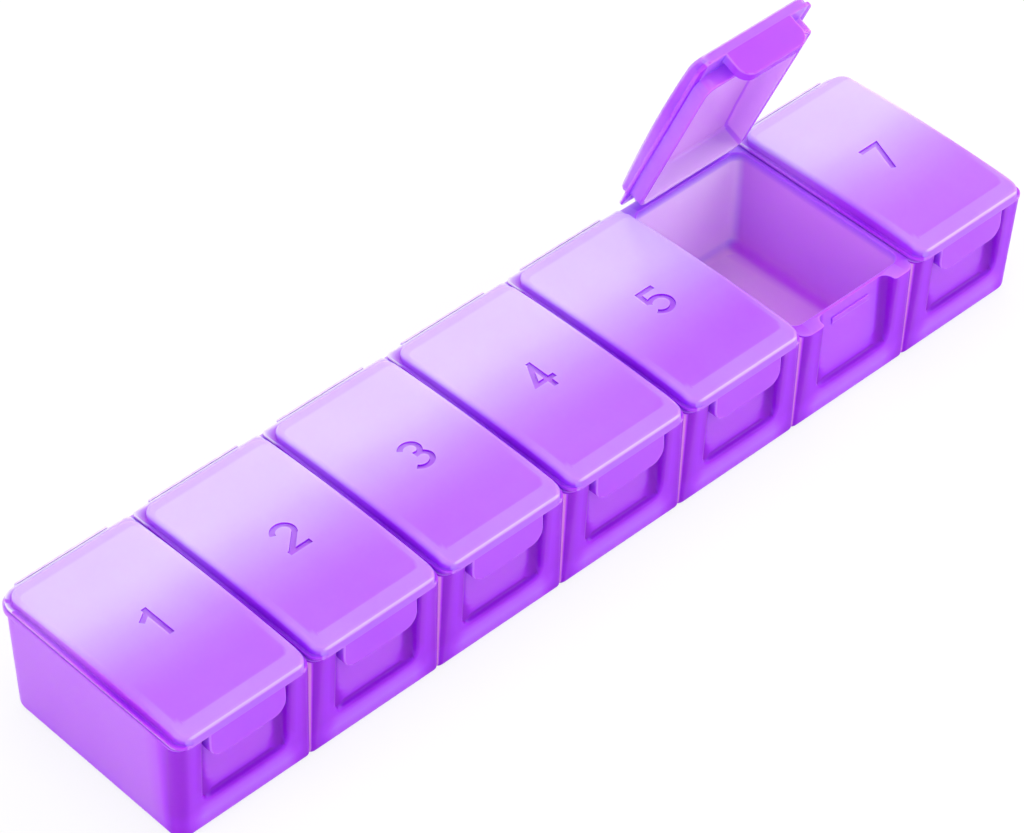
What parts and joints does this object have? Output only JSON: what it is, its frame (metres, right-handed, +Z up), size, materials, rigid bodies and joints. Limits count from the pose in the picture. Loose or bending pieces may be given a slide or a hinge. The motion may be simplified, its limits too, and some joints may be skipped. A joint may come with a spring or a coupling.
{
  "type": "weekly pill organizer",
  "caption": "Long one-piece moulded pill tray with a row of wells, each closed by its own flip-up domed lid on a living hinge with a thumb tab.",
  "frame": {"origin": "middle of the flat underside, centred on the box of the whole part as shown, with the lid of day 6 open", "axes": "+X runs along the row from day 1 to day 7, +Y from the thumb tabs to the hinges, +Z up"},
  "size_m": [0.2176, 0.0528, 0.0735],
  "materials": {
    "tray_plastic": "translucent satin polypropylene, purple",
    "lid_plastic": "translucent polished polypropylene, light purple",
    "hinge_film": "thin, nearly clear polypropylene film"
  },
  "bodies": {
    "tray": {"tray": "tray_plastic", "hinge_strip_day_1": "hinge_film", "hinge_strip_day_2": "hinge_film", "hinge_strip_day_3": "hinge_film", "hinge_strip_day_4": "hinge_film", "hinge_strip_day_5": "hinge_film", "hinge_strip_day_6": "hinge_film", "hinge_strip_day_7": "hinge_film"},
    "lid_1": {"lid_day_1": "lid_plastic"},
    "lid_2": {"lid_day_2": "lid_plastic"},
    "lid_3": {"lid_day_3": "lid_plastic"},
    "lid_4": {"lid_day_4": "lid_plastic"},
    "lid_5": {"lid_day_5": "lid_plastic"},
    "lid_6": {"lid_day_6": "lid_plastic"},
    "lid_7": {"lid_day_7": "lid_plastic"}
  },
  "joints": [
    {"name": "lid_1_hinge", "type": "hinge", "parent": "tray", "child": "lid_1", "pos_m": [-0.093, 0.02529, 0.0254], "axis": [-1, 0, 0], "range_deg": [0, 180], "deforming": ["hinge_strip_day_1"]},
    {"name": "lid_2_hinge", "type": "hinge", "parent": "tray", "child": "lid_2", "pos_m": [-0.062, 0.02529, 0.0254], "axis": [-1, 0, 0], "range_deg": [0, 180], "deforming": ["hinge_strip_day_2"]},
    {"name": "lid_3_hinge", "type": "hinge", "parent": "tray", "child": "lid_3", "pos_m": [-0.031, 0.02529, 0.0254], "axis": [-1, 0, 0], "range_deg": [0, 180], "deforming": ["hinge_strip_day_3"]},
    {"name": "lid_4_hinge", "type": "hinge", "parent": "tray", "child": "lid_4", "pos_m": [0, 0.02529, 0.0254], "axis": [-1, 0, 0], "range_deg": [0, 180], "deforming": ["hinge_strip_day_4"]},
    {"name": "lid_5_hinge", "type": "hinge", "parent": "tray", "child": "lid_5", "pos_m": [0.031, 0.02529, 0.0254], "axis": [-1, 0, 0], "range_deg": [0, 180], "deforming": ["hinge_strip_day_5"]},
    {"name": "lid_6_hinge", "type": "hinge", "parent": "tray", "child": "lid_6", "pos_m": [0.062, 0.02529, 0.0254], "axis": [-1, 0, 0], "range_deg": [-66.5, 113.5], "deforming": ["hinge_strip_day_6"]},
    {"name": "lid_7_hinge", "type": "hinge", "parent": "tray", "child": "lid_7", "pos_m": [0.093, 0.02529, 0.0254], "axis": [-1, 0, 0], "range_deg": [0, 180], "deforming": ["hinge_strip_day_7"]}
  ]
}
